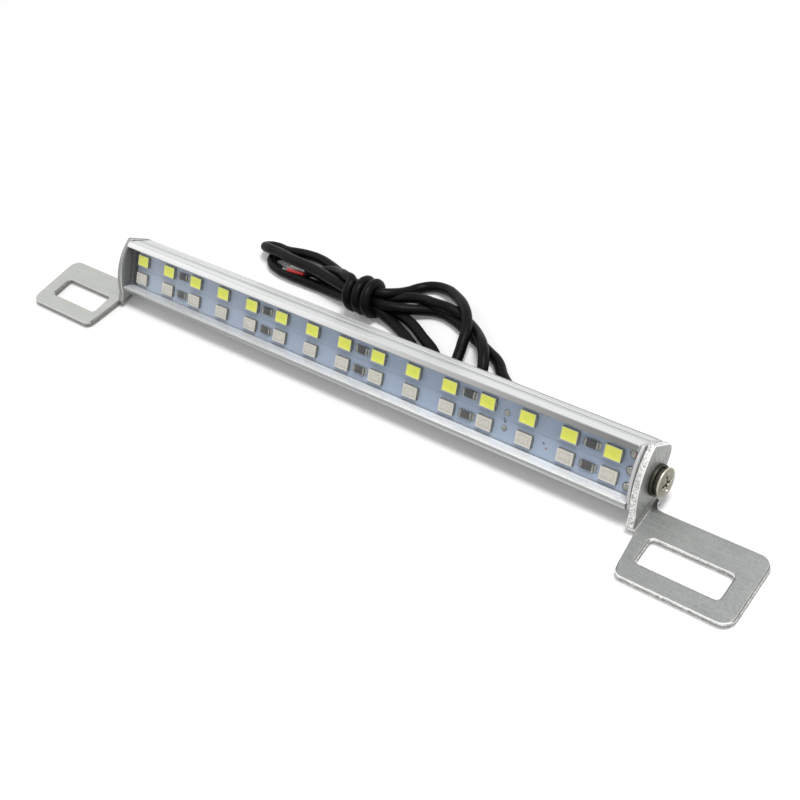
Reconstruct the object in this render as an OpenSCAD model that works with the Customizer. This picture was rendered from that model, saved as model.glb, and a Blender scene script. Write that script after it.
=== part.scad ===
// Slim LED light bar: an aluminium channel with two rows of LEDs behind a clear lens,
// held at each end by a slotted bracket that swivels on one screw.
// Millimetres. +X runs along the bar, +Z is up, and the bar shines towards -Y and up.
// The origin is on the mounting plane, under the middle of the bar and its brackets.

/* [Bar] */
// Length of the aluminium channel
bar_len = 150; // [100:1:300]
// Height of the channel, across the LED faces
bar_h = 13.2; // [12.8:0.1:16]
// How far the channel leans back from upright
tilt = 36; // [0:1:60]
// Thickness of the channel's top and bottom walls where the lips end
lip_t = 1.3; // [1:0.1:2]
// Thickness of the channel's back wall
back_t = 0.9; // [0.8:0.1:2]
// Radius of the channel's two back corners
back_r = 1.2; // [0.5:0.1:2]
// How far the lips stand in front of the LED faces at the lens
lip_out = 2.4; // [1.6:0.1:3]
// How far the outer edge of each lip lies behind its inner edge
lip_slope = 0.5; // [0:0.1:1]
// Space behind the board, for the wires and the end plugs
cavity_d = 3.5; // [3.3:0.1:6]

/* [Lens] */
// How far the lens crown stands in front of the LED faces
lens_out = 2.9; // [2.5:0.1:4]
// Radius of the lens outside
lens_r = 15; // [10:0.5:30]
// Thickness of the lens
lens_t = 1; // [0.8:0.1:1.5]

/* [Board and LEDs] */
// Number of LEDs in each row
led_count = 15; // [5:1:25]
// Distance between LEDs along the bar
led_pitch = 10; // [8:0.5:12]
// How far the middle LED lies to the right of the middle of the bar
led_shift = -1; // [-2:0.1:2]
// Distance between the two rows
row_gap = 4.6; // [4:0.1:5]
// LED package length
led_l = 3.9; // [2.8:0.1:4.2]
// LED package width
led_w = 2.8; // [2:0.1:3]
// LED package thickness
led_t = 0.8; // [0.6:0.1:1.2]
// Thickness of the circuit board
board_t = 1; // [0.8:0.1:1.6]
// Gap between the board's wired end and the channel's end
wire_end_gap = 1; // [1:0.1:3]
// Gap between the board's plain end and the channel's end
plain_end_gap = 1.4; // [1:0.1:3]

/* [Brackets] */
// Thickness of the bracket sheet
sheet_t = 1.6; // [1.2:0.1:2]
// Length of the tab, out from the upright plate
tab_l = 25.8; // [20:0.1:40]
// Depth of the tab, front to back
tab_d = 16.6; // [12:0.1:24]
// How far the tab's back edge lies in front of the swivel screw
tab_back = 3.1; // [1:0.1:6]
// Corner radius of the tab's outer end
tab_r = 2.6; // [1:0.1:4]
// How far the fold's back end lies in front of the swivel screw
fold_back_gap = 0.9; // [0:0.1:2]
// Length of the fold between the upright plate and the tab
fold_l = 8.6; // [6:0.1:12]
// Length of the slot
slot_l = 17.4; // [12:0.1:20]
// Width of the slot
slot_w = 6.1; // [4.5:0.1:8]
// Distance between the two slots' centres
slot_spacing = 180; // [178:0.1:181]
// Distance from the tab's front edge to the slot
slot_front = 4.2; // [2:0.1:8]
// Corner radius of the slot
slot_r = 1; // [0.5:0.1:2]
// Height of the swivel screw above the mounting plane
pivot_h = 6.3; // [6.3:0.1:12]
// How far the swivel screw lies below the middle of the channel
screw_low = 0.6; // [0:0.1:1]
// How far the upright plate stands above the channel at the lens
plate_rise = 0.4; // [0:0.1:2]

/* [Screws] */
// Diameter of the swivel screw's shank
screw_d = 2.5; // [2:0.1:2.6]
// Diameter of the screw head
head_d = 6.4; // [5:0.1:8]
// Thickness of the flat washer
washer_t = 0.7; // [0.5:0.1:1]
// Thickness of the spring washer
spring_t = 0.9; // [0.5:0.1:1.2]

/* [Cable] */
// Diameter of the cable
cable_d = 2.6; // [2:0.1:2.8]
// Diameter of one insulated core
core_d = 0.9; // [0.6:0.1:0.9]
// Distance of the cable outlet from the middle of the bar
outlet_x = 62; // [60:1:63]
// How far the cable outlet lies above the middle of the back wall
outlet_up = 1.5; // [0:0.1:1.8]

/* [Hidden] */
$fn = 64;

// The bar's own frame has its X axis in the middle of the wire space, its back towards
// +Y and its LED rows one above the other along Z. Depths below are Y in that frame.
face_y = -(cavity_d / 2 + board_t + led_t);   // front faces of the LEDs
board_y = face_y + led_t;                     // front face of the board
cavity_y = board_y + board_t;                 // back face of the board
back_in = cavity_y + cavity_d;                // inside of the back wall
back_y = back_in + back_t;                    // outside of the back wall
lip_y = face_y - lip_out;                     // lip edge beside the lens
half_h = bar_h / 2;
end_x = bar_len / 2;

fit = 0.1;          // clearance between pieces that slide together
running = 0.06;     // radial clearance of a bracket on its screw
thread_fit = 0.02;  // radial clearance of a screw in its plug

mouth_z = half_h - lip_t;       // half width of the channel's mouth
seat_z = mouth_z - 0.6;         // half width of the channel where it holds the board
board_slot_z = half_h - 1.1;    // half width of the slots that the board slides in
cavity_z = half_h - 1.7;        // half width of the space behind the board
groove_w = 0.35;                // the two fine grooves along the channel's top
groove_d = 0.25;
groove_at = [2.2, 4.9];         // their distance behind the LED faces

cap_t = 0.7;                    // flange between the channel and the bracket
plug_l = 8;                     // plug behind the board that the screw bites into
plug_z = 2.8;                   // its half height
neck_l = 1.2;                   // the plug is lower here, to let the wires past
neck_z = 1.6;                   // top of that part
plate_in = end_x + cap_t + fit; // inner face of the bracket's upright plate
plate_out = plate_in + sheet_t; // its outer face
tab_end = plate_out + tab_l;    // outer end of the tab

bend_r = 0.5;                   // inside radius of the bracket's bend
plate_arc_r = 15.5;             // front edge of the upright plate, around the lens
plate_arc_z = -1.5;             // height of its centre
plate_out_y = face_y - 2.8;     // its crown
plate_low = 7.5;                // the arc ends this far below the middle
plate_top = half_h + plate_rise;
plate_fall = 0.6;               // the plate's top edge is this much lower at its back
plate_back = back_y + 1;
plate_r = 1.8;                  // corner radius at the top and back

neck_d = 4.5;                   // grommet where it passes through the back wall
flange_d = 6;
flange_t = 0.8;
cone_l = 1.6;                   // its tapered tail
tail_d = cable_d + 1.2;         // the tail's end

// A point of the bar's frame as [y, z] beside its origin, with the bar leaning back.
function leaned(p) = [p[0] * cos(tilt) + p[1] * sin(tilt), p[1] * cos(tilt) - p[0] * sin(tilt)];
// Points of an arc about c, from angle a0 to a1.
function arc(c, r, a0, a1, n = 8) =
    [for (i = [0:n]) let (a = a0 + (a1 - a0) * i / n) c + r * [cos(a), sin(a)]];

axis = [0, -screw_low];                       // the swivel axis, in the bar's frame
axis_out = leaned(axis);
rear_corner = leaned([plate_back - plate_r, plate_top - plate_fall - plate_r]);
outlet_y = back_y + flange_t + cone_l;
tail_corner = leaned([outlet_y, outlet_up + tail_d / 2]);
rear_reach = max(rear_corner[0] + plate_r, tail_corner[0]);
tab_rear = axis_out[0] - tab_back;            // these four are beside the bar's origin
tab_front = tab_rear - tab_d;
fold_back = axis_out[0] - fold_back_gap;
fold_front = fold_back - fold_l;
bar_y = -(tab_front + rear_reach) / 2;
bar_z = pivot_h - axis_out[1];
bend_top = sheet_t + bend_r - bar_z;          // where the flat of the upright plate begins

white_z = row_gap / 2;
row_x = [for (i = [0:led_count - 1]) led_shift + (i - (led_count - 1) / 2) * led_pitch];
resistor_x = [for (i = [1:3:led_count - 2]) (row_x[i] + row_x[i + 1]) / 2];
joint_d = 1.5;
joint_h = 0.6;
joint_x = end_x - wire_end_gap - joint_d / 2 - 0.2;
joint_z = [3.5, 0.1, -3.2];     // one joint for each core

washer_d = 6.6;
washer_x = plate_out + fit;
spring_x = washer_x + washer_t;
head_x = spring_x + spring_t;
head_rim = 0.35;
head_h = 0.7;

// The cable's centreline from the grommet's tail to the hank, lying on the mounting plane.
function outlet_at(y) = let (p = leaned([y, outlet_up])) [outlet_x, bar_y + p[0], bar_z + p[1]];
cable_route = concat([outlet_at(outlet_y), outlet_at(outlet_y + 0.8)], [
    [62, 13.4, 3.9], [61.3, 14.6, 2.7], [59.4, 15.2, 1.7], [56.7, 15, 1.3],
    [52, 14.6, 1.3], [46, 14.5, 1.3], [40, 15, 1.3], [35.5, 16.6, 1.3],
    [31, 19.2, 1.3], [27.4, 22.3, 1.3]
]);
hank_h = 2 * cable_d;
knot_h = 3 * cable_d;
core_end_l = 7;

// Puts children, drawn in the bar's frame, where the bar stands.
module in_bar() {
    translate([0, bar_y, bar_z]) rotate([-tilt, 0, 0]) children();
}

// The same, with its X axis on the swivel axis.
module on_axis() {
    in_bar() translate([0, axis[0], axis[1]]) children();
}

// Extrudes a section drawn as [y, z] along X, from x0 to x1.
module along_x(x0, x1) {
    translate([x0, 0, 0]) rotate([90, 0, 90]) linear_extrude(x1 - x0) children();
}

// A tube along a route. Each ring stands across the bisector of its two stretches and
// is carried on from the ring before without twisting.
function unit(v) = v / norm(v);
function heading(route, i) =
    i == 0 ? unit(route[1] - route[0]) :
    i == len(route) - 1 ? unit(route[i] - route[i - 1]) :
    unit(unit(route[i] - route[i - 1]) + unit(route[i + 1] - route[i]));
function side_at(route, i) =
    let (t = heading(route, i), s = i == 0 ? cross(t, [0.1, 0.2, 1]) : side_at(route, i - 1))
    unit(s - (s * t) * t);
module tube(route, d, sides) {
    points = [for (i = [0:len(route) - 1])
        let (t = heading(route, i), side = side_at(route, i), up = cross(side, t))
        for (k = [0:sides - 1])
            route[i] + d / 2 * (side * cos(360 * k / sides) + up * sin(360 * k / sides))];
    last = (len(route) - 1) * sides;
    walls = [for (i = [0:len(route) - 2], k = [0:sides - 1]) let (n = (k + 1) % sides)
        [i * sides + k, i * sides + n, (i + 1) * sides + n, (i + 1) * sides + k]];
    ends = [
        [for (k = [sides - 1:-1:0]) k],
        [for (k = [0:sides - 1]) last + k]
    ];
    polyhedron(points, concat(walls, ends));
}

// A cylinder along X.
module rod_x(x0, x1, d) {
    translate([x0, 0, 0]) rotate([0, 90, 0]) cylinder(h = x1 - x0, d = d);
}

// A rectangle with rounded corners, about the origin.
module round_rect(w, h, r) {
    square([w - 2 * r, h], center = true);
    square([w, h - 2 * r], center = true);
    for (x = [-1, 1], y = [-1, 1])
        translate([x * (w / 2 - r), y * (h / 2 - r)]) circle(r);
}

// The channel's outside: a flat front with sloping lips and two rounded back corners.
module housing_outline() {
    polygon(concat(
        [[lip_y, -mouth_z], [lip_y, mouth_z], [lip_y + lip_slope, half_h]],
        arc([back_y - back_r, half_h - back_r], back_r, 90, 0),
        arc([back_y - back_r, back_r - half_h], back_r, 0, -90),
        [[lip_y + lip_slope, -half_h]]
    ));
}

module housing_space() {
    slot_clear = 0.05;
    polygon([
        [lip_y - 1, mouth_z], [lip_y, mouth_z], [board_y - slot_clear, seat_z],
        [board_y - slot_clear, -seat_z], [lip_y, -mouth_z], [lip_y - 1, -mouth_z]
    ]);
    translate([board_y - slot_clear, -board_slot_z])
        square([board_t + 2 * slot_clear, 2 * board_slot_z]);
    translate([board_y, -cavity_z]) square([board_t + cavity_d, 2 * cavity_z]);
    for (y = groove_at) translate([face_y + y - groove_w / 2, half_h - groove_d])
        square([groove_w, groove_d + 1]);
}

module housing() {
    color("lightgray") in_bar() difference() {
        along_x(-end_x, end_x) difference() {
            housing_outline();
            housing_space();
        }
        translate([outlet_x, back_in - 1, outlet_up]) rotate([-90, 0, 0])
            cylinder(h = back_t + 2, d = neck_d + fit);
    }
}

// The lens section: a shallow dome whose two feet stand on the channel's sloping walls.
module lens_section() {
    crown_y = face_y - lens_out;
    half_w = seat_z + 0.2;
    foot_w = 0.7;
    foot_y0 = face_y - 0.9;
    intersection() {
        difference() {
            translate([crown_y + lens_r, 0]) circle(lens_r, $fn = 180);
            translate([crown_y + lens_r, 0]) circle(lens_r - lens_t, $fn = 180);
        }
        translate([crown_y, -half_w]) square([lens_r / 2, 2 * half_w]);
    }
    for (z = [-1, 1]) translate([crown_y + lens_t + 0.3, z > 0 ? half_w - foot_w : -half_w])
        square([foot_y0 - crown_y - lens_t - 0.3, foot_w]);
}

module lens() {
    color([0.9, 0.95, 1, 0.4]) in_bar() along_x(-end_x + fit, end_x - fit) lens_section();
}

module circuit_board() {
    color("lightsteelblue") in_bar()
        translate([-end_x + plain_end_gap, board_y, -board_slot_z + fit])
            cube([bar_len - plain_end_gap - wire_end_gap, board_t, 2 * (board_slot_z - fit)]);
}

// One row of LED packages with their windows cut out, or the windows' filling alone.
window_l = led_l - 0.5;
window_w = led_w - 0.5;
window_t = 0.15;
module led_bodies(z) {
    for (x = row_x) translate([x - led_l / 2, face_y, z - led_w / 2]) difference() {
        cube([led_l, led_t, led_w]);
        translate([0.25, -1, 0.25]) cube([window_l, 1 + window_t, window_w]);
    }
}

module led_windows(z) {
    for (x = row_x) translate([x - window_l / 2, face_y, z - window_w / 2])
        cube([window_l, window_t, window_w]);
}

module white_led_bodies() {
    color("white") in_bar() led_bodies(white_z);
}

module white_led_phosphors() {
    color("yellow") in_bar() led_windows(white_z);
}

module red_led_bodies() {
    color("antiquewhite") in_bar() led_bodies(-white_z);
}

module red_led_windows() {
    color("wheat") in_bar() led_windows(-white_z);
}

module resistors(z) {
    size = [3.2, 0.6, 1.6];
    for (x = resistor_x) translate([x - size[0] / 2, board_y - size[1], z - size[2] / 2])
        cube(size);
}

module upper_resistors() {
    color("dimgray") in_bar() resistors(white_z);
}

module lower_resistors() {
    color("dimgray") in_bar() resistors(-white_z);
}

// Low domes of solder on the board.
module solder_dome(d, h) {
    ball_r = (pow(d / 2, 2) + h * h) / (2 * h);
    intersection() {
        translate([0, ball_r - h, 0]) sphere(ball_r);
        translate([-d, -h, -d]) cube([2 * d, h, 2 * d]);
    }
}

module test_pads() {
    x = (row_x[floor(led_count * 0.77)] + row_x[floor(led_count * 0.77) + 1]) / 2;
    color("silver") in_bar() for (z = [1.9, -1.5])
        translate([x, board_y, z]) solder_dome(1.5, 0.5);
}

// Each core starts beside its solder joint.
module wire_joints() {
    color("silver") in_bar() for (z = joint_z)
        translate([joint_x, board_y, z]) rotate([90, 0, 0]) cylinder(h = joint_h, d = joint_d);
}

// A core from its solder joint, past the board's end and back to the cable's sheath.
inner_end_y = back_in - 0.8;    // the cable's sheath ends here, inside the channel
core_y = cavity_y + core_d / 2 + fit;
core_z = cavity_z - core_d / 2 - fit;  // the outer cores' height in the wire space
module core(start_z, lane, end_off, way_off) {
    turn_x = end_x - wire_end_gap / 2;
    front = board_y - core_d / 2;
    end_at = [outlet_x + end_off[0], inner_end_y, outlet_up + end_off[1]];
    mid_z = (start_z + lane[1]) / 2;
    in_bar() tube([
        [joint_x + joint_d / 2 + 0.02, front, start_z], [turn_x - 0.2, front, start_z],
        [turn_x, front + 0.3, start_z + (mid_z - start_z) / 2],
        [turn_x, front + 0.7, mid_z], [turn_x, lane[0] - 0.3, lane[1]],
        [turn_x - 0.5, lane[0], lane[1]], [outlet_x + 5, lane[0], lane[1]],
        end_at + way_off, end_at - [0, 0.8, 0], end_at
    ], core_d, 12);
}

module red_core() {
    color("red") core(joint_z[0], [core_y, core_z], [0, 0.62], [1, -1.1, 0.3]);
}

module white_core() {
    color("white") core(joint_z[1], [core_y + 1, 3.4], [0.54, -0.31], [1.3, -1.1, 0.3]);
}

module black_core() {
    color("black") core(joint_z[2], [core_y, -core_z], [-0.54, -0.31], [0, -1.1, -1]);
}

// The flange follows the lens in front and the channel behind.
module cap_outline() {
    bow = asin(half_h / lens_r);
    polygon(concat(
        arc([face_y - lens_out + lens_r, 0], lens_r, 180 + bow, 180 - bow, 16),
        arc([back_y - back_r, half_h - back_r], back_r, 90, 0),
        arc([back_y - back_r, back_r - half_h], back_r, 0, -90)
    ));
}

// The flange closes the channel, and the plug behind the board takes the screw.
module end_cap() {
    in_bar() difference() {
        union() {
            along_x(end_x, end_x + cap_t) cap_outline();
            translate([end_x - plug_l, cavity_y + fit, -plug_z])
                cube([plug_l - neck_l, cavity_d - 2 * fit, 2 * plug_z]);
            translate([end_x - plug_l, cavity_y + fit, -plug_z])
                cube([plug_l + 0.1, cavity_d - 2 * fit, plug_z + neck_z]);
        }
        translate([0, 0, -screw_low])
            rod_x(end_x - plug_l - 1, end_x + cap_t + 1, screw_d + 2 * thread_fit);
    }
}

module right_end_cap() {
    color("dimgray") end_cap();
}

module left_end_cap() {
    color("dimgray") mirror([1, 0, 0]) end_cap();
}

// A bead of sealant fills the channel in front of its plain end.
module left_sealant() {
    color("black") in_bar()
        translate([-end_x, face_y - 0.6, -seat_z + fit])
            cube([plain_end_gap - fit, led_t + 0.5, 2 * (seat_z - fit)]);
}

// The bracket: an upright plate, a bend and a slotted tab, all of one sheet.
module plate_outline() {
    arc_end = asin((plate_low + plate_arc_z) / plate_arc_r);
    arc_start = asin((plate_top - plate_arc_z) / plate_arc_r);
    front = arc([plate_out_y + plate_arc_r, plate_arc_z], plate_arc_r,
        180 - arc_start, 180 + arc_end, 16);
    polygon(concat(
        [for (p = front) leaned(p)],
        [[fold_front, bend_top], [fold_back, bend_top]],
        arc(rear_corner, plate_r, -tilt, 85 - tilt)
    ));
}

module tab_outline() {
    x0 = plate_out + bend_r;
    foot_r = 2;
    foot_x = x0 + 0.2 + foot_r;
    inner_x = x0 + 1;
    inner_r = 1.8;
    polygon(concat(
        [[x0, fold_front], [x0, fold_back]],
        arc([foot_x, tab_rear + foot_r], foot_r, 180, 270),
        arc([tab_end - tab_r, tab_rear - tab_r], tab_r, 90, 0),
        arc([tab_end - tab_r, tab_front + tab_r], tab_r, 0, -90),
        arc([inner_x + inner_r, tab_front + inner_r], inner_r, -90, -170)
    ));
}

module bracket() {
    translate([0, bar_y, bar_z]) difference() {
        union() {
            along_x(plate_in, plate_out) plate_outline();
            translate([plate_out + bend_r, fold_back, bend_top]) rotate([90, 0, 0])
                linear_extrude(fold_l) intersection() {
                    difference() {
                        circle(bend_r + sheet_t);
                        circle(bend_r);
                    }
                    translate([-bend_r - sheet_t, -bend_r - sheet_t])
                        square(bend_r + sheet_t);
                }
            translate([0, 0, -bar_z]) linear_extrude(sheet_t) tab_outline();
        }
        translate([0, axis_out[0], axis_out[1]])
            rod_x(plate_in - 1, plate_out + 1, screw_d + 2 * running);
        translate([slot_spacing / 2, tab_front + slot_front + slot_w / 2, -bar_z - 1])
            linear_extrude(sheet_t + 2) round_rect(slot_l, slot_w, slot_r);
    }
}

module right_bracket() {
    color("silver") bracket();
}

module left_bracket() {
    color("silver") mirror([1, 0, 0]) bracket();
}

module ring_x(x0, x1, d_out, d_in) {
    difference() {
        rod_x(x0, x1, d_out);
        rod_x(x0 - 1, x1 + 1, d_in);
    }
}

module flat_washer() {
    on_axis() ring_x(washer_x, spring_x, washer_d, screw_d + 0.3);
}

// The spring washer is a ring with one sawn gap.
module spring_washer() {
    gap = 0.7;
    on_axis() difference() {
        ring_x(spring_x, head_x, washer_d - 0.8, screw_d + 0.3);
        translate([spring_x - 1, -gap / 2, 0]) cube([spring_t + 2, gap, washer_d]);
    }
}

module screw() {
    recess_w = 0.8;
    recess_l = 3.6;
    recess_t = 0.5;
    dome_h = head_h - head_rim;
    dome_r = (pow(head_d / 2, 2) + dome_h * dome_h) / (2 * dome_h);
    start_x = end_x - plug_l + 1.5;
    on_axis() difference() {
        rotate([0, 90, 0]) rotate_extrude() {
            translate([0, start_x]) square([screw_d / 2, head_x - start_x + 0.1]);
            translate([0, head_x]) square([head_d / 2, head_rim]);
            intersection() {
                translate([0, head_x + head_h - dome_r]) circle(dome_r, $fn = 120);
                translate([0, head_x + 0.1]) square([head_d / 2, head_h]);
            }
        }
        for (turn = [20, 110]) rotate([turn, 0, 0])
            translate([head_x + head_h - recess_t, -recess_l / 2, -recess_w / 2])
                cube([recess_t + 1, recess_l, recess_w]);
    }
}

module right_flat_washer() {
    color("black") flat_washer();
}

module left_flat_washer() {
    color("black") mirror([1, 0, 0]) flat_washer();
}

module right_spring_washer() {
    color("dimgray") spring_washer();
}

module left_spring_washer() {
    color("dimgray") mirror([1, 0, 0]) spring_washer();
}

module right_screw() {
    color("darkkhaki") screw();
}

module left_screw() {
    color("darkkhaki") mirror([1, 0, 0]) screw();
}

// The rubber grommet: a lip inside the wall, a neck in the hole, a flange and a tail.
module cable_grommet() {
    lip_t = 0.5;
    color("black") in_bar() translate([outlet_x, 0, outlet_up]) rotate([-90, 0, 0])
        difference() {
            union() {
                translate([0, 0, back_in]) cylinder(h = back_t, d = neck_d);
                translate([0, 0, back_in - lip_t]) cylinder(h = lip_t, d = flange_d - 0.6);
                translate([0, 0, back_y]) cylinder(h = flange_t, d = flange_d);
                translate([0, 0, back_y + flange_t])
                    cylinder(h = cone_l, d1 = neck_d + 0.5, d2 = tail_d);
            }
            translate([0, 0, back_in - 2]) cylinder(h = 10, d = cable_d + 2 * thread_fit);
        }
}

// The end of the cable's sheath, held in the grommet.
module cable_inner_end() {
    color("black") in_bar() translate([outlet_x, inner_end_y, outlet_up]) rotate([-90, 0, 0])
        cylinder(h = outlet_y - inner_end_y, d = cable_d);
}

module cable_tube() {
    color("black") tube(cable_route, cable_d, 8);
}

// The hank: one lobe to the left of its knot and one to the right, and the knot.
module cable_hank() {
    color("black") {
        linear_extrude(hank_h) hull() {
            translate([-50, 28.8]) circle(4.8, $fn = 32);
            translate([-34, 28.6]) circle(5.8, $fn = 32);
            translate([-14, 26.4]) circle(4.5, $fn = 32);
        }
        linear_extrude(hank_h) hull() {
            translate([-12, 26.4]) circle(4.5, $fn = 32);
            translate([1, 33.4]) circle(5.2, $fn = 32);
            translate([9, 30.9]) circle(5, $fn = 32);
            translate([22, 20.4]) circle(6, $fn = 32);
            translate([13, 16.4]) circle(4.5, $fn = 32);
        }
        linear_extrude(knot_h) hull() {
            translate([-15.5, 28.4]) circle(4, $fn = 32);
            translate([-11, 23.4]) circle(4, $fn = 32);
        }
    }
}

// The stripped ends of the three cores, in the hank's left lobe.
module core_end(lane, turn) {
    translate([-34.5, 26.1 + lane, cable_d + 0.2])
        rotate([0, 90, 180 + turn]) cylinder(h = core_end_l, d = core_d);
}

module red_core_end() {
    color("red") core_end(-1, 5);
}

module white_core_end() {
    color("white") core_end(0, 0);
}

module black_core_end() {
    color("black") core_end(1, -5);
}

housing();
lens();
circuit_board();
white_led_bodies();
white_led_phosphors();
red_led_bodies();
red_led_windows();
upper_resistors();
lower_resistors();
test_pads();
wire_joints();
red_core();
white_core();
black_core();
left_end_cap();
right_end_cap();
left_sealant();
left_bracket();
right_bracket();
left_flat_washer();
right_flat_washer();
left_spring_washer();
right_spring_washer();
left_screw();
right_screw();
cable_grommet();
cable_inner_end();
cable_tube();
cable_hank();
red_core_end();
white_core_end();
black_core_end();
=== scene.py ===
from math import cos, pi, radians, sin

import bmesh
import bpy
from mathutils import Matrix, Vector


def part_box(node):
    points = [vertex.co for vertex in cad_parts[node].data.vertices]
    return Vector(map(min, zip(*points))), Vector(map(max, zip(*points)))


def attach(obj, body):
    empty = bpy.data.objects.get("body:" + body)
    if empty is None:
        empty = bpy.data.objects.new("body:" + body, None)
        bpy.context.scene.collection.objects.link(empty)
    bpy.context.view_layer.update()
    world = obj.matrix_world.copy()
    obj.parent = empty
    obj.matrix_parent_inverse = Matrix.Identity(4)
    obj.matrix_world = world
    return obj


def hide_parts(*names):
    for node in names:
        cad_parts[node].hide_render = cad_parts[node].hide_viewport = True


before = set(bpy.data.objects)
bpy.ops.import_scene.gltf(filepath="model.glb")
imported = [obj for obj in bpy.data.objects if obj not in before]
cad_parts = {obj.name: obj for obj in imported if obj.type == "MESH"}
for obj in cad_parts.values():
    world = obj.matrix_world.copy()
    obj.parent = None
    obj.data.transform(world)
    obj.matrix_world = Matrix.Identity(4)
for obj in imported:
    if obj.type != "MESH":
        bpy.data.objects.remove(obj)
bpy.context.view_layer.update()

# The studio: a camera above the bar's right end, a pale floor under the brackets that fades
# to plain white away from the bar, an even room that looks white to the camera and in
# reflections, and two soft lamps, above at the right and weaker at the left.
camera = bpy.data.objects.new("camera", bpy.data.cameras.new("camera"))
bpy.context.collection.objects.link(camera)
camera.location = (0.17012, -0.11310, 0.19445)
camera.rotation_euler = (radians(43.44), radians(14.13), radians(38.81))
camera.data.lens = 56.08
camera.data.sensor_width = 36
camera.data.clip_start = 0.01
bpy.context.scene.camera = camera
bpy.context.scene.view_settings.view_transform = "Standard"


class Value:
    """One output of a shader node. Arithmetic on it adds Math nodes."""

    def __init__(self, finish, socket):
        self.finish = finish
        self.socket = socket

    def __add__(self, other):
        return self.finish.maths("ADD", self, other)

    def __sub__(self, other):
        return self.finish.maths("SUBTRACT", self, other)

    def __rsub__(self, other):
        return self.finish.maths("SUBTRACT", other, self)

    def __mul__(self, other):
        return self.finish.maths("MULTIPLY", self, other)

    def __pow__(self, other):
        return self.finish.maths("POWER", self, other)

    def __gt__(self, other):
        return self.finish.maths("GREATER_THAN", self, other)

    def __lt__(self, other):
        return self.finish.maths("LESS_THAN", self, other)

    def __abs__(self):
        return self.finish.maths("ABSOLUTE", self)

    __radd__ = __add__
    __rmul__ = __mul__


class Finish:
    """A material, its Principled shader, and the one way a node is added to it."""

    def __init__(self, name, **sockets):
        self.material = bpy.data.materials.new(name)
        self.material.use_nodes = True
        self.tree = self.material.node_tree
        self.shader = self.tree.nodes["Principled BSDF"]
        self.output = self.tree.nodes["Material Output"]
        for socket, value in sockets.items():
            self.shader.inputs[socket.replace("_", " ")].default_value = value

    def node(self, kind, settings, sockets, out=0):
        made = self.tree.nodes.new(kind)
        for name, setting in settings.items():
            setattr(made, name, setting)
        for name, value in sockets.items():
            if isinstance(value, Value):
                self.tree.links.new(value.socket, made.inputs[name])
            else:
                made.inputs[name].default_value = value
        return Value(self, made.outputs[out])

    def maths(self, operation, first, second=0.0):
        return self.node("ShaderNodeMath", {"operation": operation}, {0: first, 1: second})

    def feed(self, socket, value):
        self.tree.links.new(value.socket, self.shader.inputs[socket])

    def place(self):
        """Where a point lies on the piece, in metres."""
        return self.node("ShaderNodeTexCoord", {}, {}, "Object")

    def stretched(self, scale):
        return self.node("ShaderNodeMapping", {}, {"Vector": self.place(), "Scale": scale})

    def parts(self, vector):
        """The X, Y and Z of a vector."""
        return [self.node("ShaderNodeSeparateXYZ", {}, {"Vector": vector}, i) for i in range(3)]

    def ramp(self, value, start, end):
        """0 up to start, 1 from end on, or the other way round when end is lower."""
        return self.node("ShaderNodeMapRange", {}, {0: value, 1: start, 2: end, 3: 0.0, 4: 1.0})

    def noise(self, vector, scale, detail=2.0):
        return self.node(
            "ShaderNodeTexNoise", {}, {"Vector": vector, "Scale": scale, "Detail": detail}
        )

    def tint(self, factor, first, second):
        """One colour where factor is 0 and another where it is 1."""
        return self.node(
            "ShaderNodeMix", {"data_type": "RGBA"}, {0: factor, 6: first, 7: second}, 2
        )

    def from_nearest(self, value, first, pitch):
        """How far a value lies from the nearest of an endless even row with one at first."""
        whole_steps = 20
        above_zero = value + (whole_steps * pitch - first)
        return self.node("ShaderNodeMath", {"operation": "PINGPONG"}, {0: above_zero, 1: pitch / 2})

    def relief(self, height, distance):
        bump = self.node("ShaderNodeBump", {}, {"Height": height, "Distance": distance})
        self.feed("Normal", bump)


def seen_white(finish):
    """1 for rays from the camera, and for mirrored and transmitted ones."""
    seen, mirrored, through = (
        finish.node("ShaderNodeLightPath", {}, {}, name)
        for name in ("Is Camera Ray", "Is Glossy Ray", "Is Transmission Ray")
    )
    return finish.maths("MAXIMUM", seen, finish.maths("MAXIMUM", mirrored, through))


def only(*objects):
    """Selects these objects and nothing else, the first one active."""
    bpy.ops.object.select_all(action="DESELECT")
    for piece in objects:
        piece.select_set(True)
    bpy.context.view_layer.objects.active = objects[0]


bpy.ops.object.select_all(action="DESELECT")
floor_below, floor_w = 0.00005, 6
bpy.ops.mesh.primitive_plane_add(size=floor_w, location=(0, 0, -floor_below))
floor = bpy.context.object
floor.name = "floor"
paper = Finish("white paper", Roughness=0.9)
fibres = paper.noise(paper.place(), 900)
paper.feed("Base Color", paper.tint(fibres, (0.86, 0.86, 0.86, 1), (0.88, 0.88, 0.88, 1)))
matt = Value(paper, paper.shader.outputs[0])
faint_glow, full_glow = 0.08, 1.0
glow = paper.node("ShaderNodeEmission", {}, {"Color": (1, 1, 1, 1), "Strength": faint_glow})
lifted = paper.node("ShaderNodeAddShader", {}, {0: matt, 1: glow})
from_bar = paper.node("ShaderNodeVectorMath", {"operation": "LENGTH"}, {0: paper.place()}, "Value")
blank = paper.node("ShaderNodeEmission", {}, {"Color": (1, 1, 1, 1), "Strength": full_glow})
fade_start, fade_end = 0.3, 0.8
far_off = paper.ramp(from_bar, fade_start, fade_end)
swept = paper.node("ShaderNodeMixShader", {}, {0: far_off, 1: lifted, 2: blank})
shown = paper.node("ShaderNodeMixShader", {}, {0: seen_white(paper), 1: matt, 2: swept})
paper.tree.links.new(shown.socket, paper.output.inputs["Surface"])
floor.data.materials.append(paper.material)

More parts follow.
